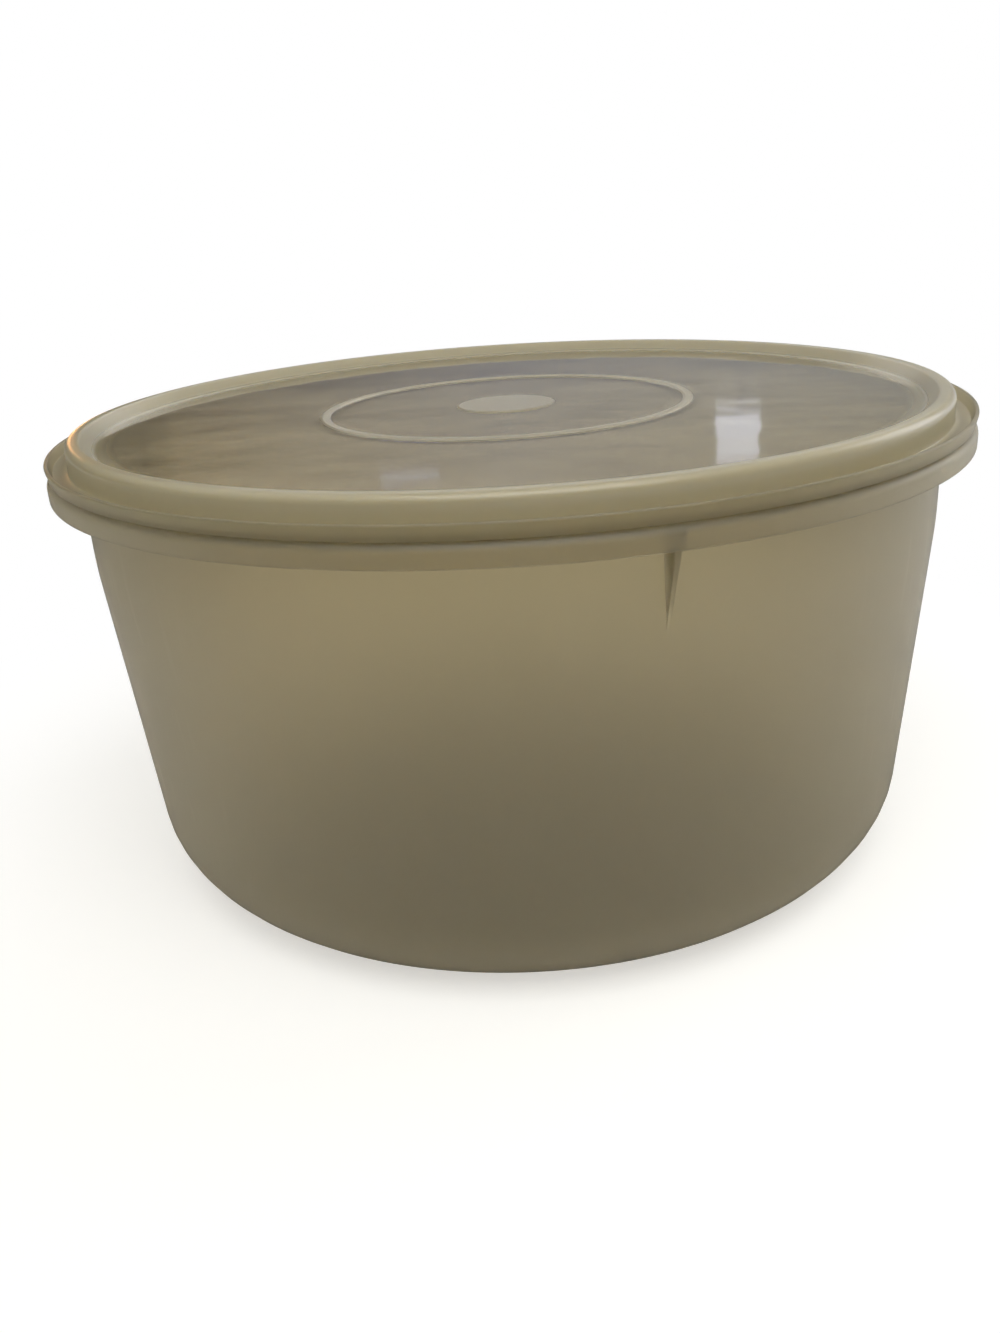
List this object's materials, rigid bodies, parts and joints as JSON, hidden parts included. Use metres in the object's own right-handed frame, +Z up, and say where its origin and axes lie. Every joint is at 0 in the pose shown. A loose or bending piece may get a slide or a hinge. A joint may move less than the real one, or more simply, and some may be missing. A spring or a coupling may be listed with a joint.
{
  "type": "cake carrier",
  "caption": "Round translucent plastic food carrier: a tapered tub with a skirted rim and a press-on lid that lifts straight off, for keeping and carrying a cake.",
  "frame": {"origin": "centre of the tub's flat base, on the surface that it stands on", "axes": "+Z up through the lid, -Y towards the front, +X to the right as seen from the front; the first gusset stands 15 degrees from the front towards +X"},
  "size_m": [0.3104, 0.3104, 0.157],
  "materials": {
    "tub_plastic": "translucent moulded polyethylene, satin outside, khaki grey",
    "lid_plastic": "translucent moulded polyethylene, glossy panel, khaki grey"
  },
  "bodies": {
    "tub": {"tub": "tub_plastic"},
    "lid": {"lid": "lid_plastic"}
  },
  "joints": [
    {"name": "lid_lift", "type": "slide", "parent": "tub", "child": "lid", "axis": [0, 0, 1], "range_m": [0, 0.18]}
  ]
}
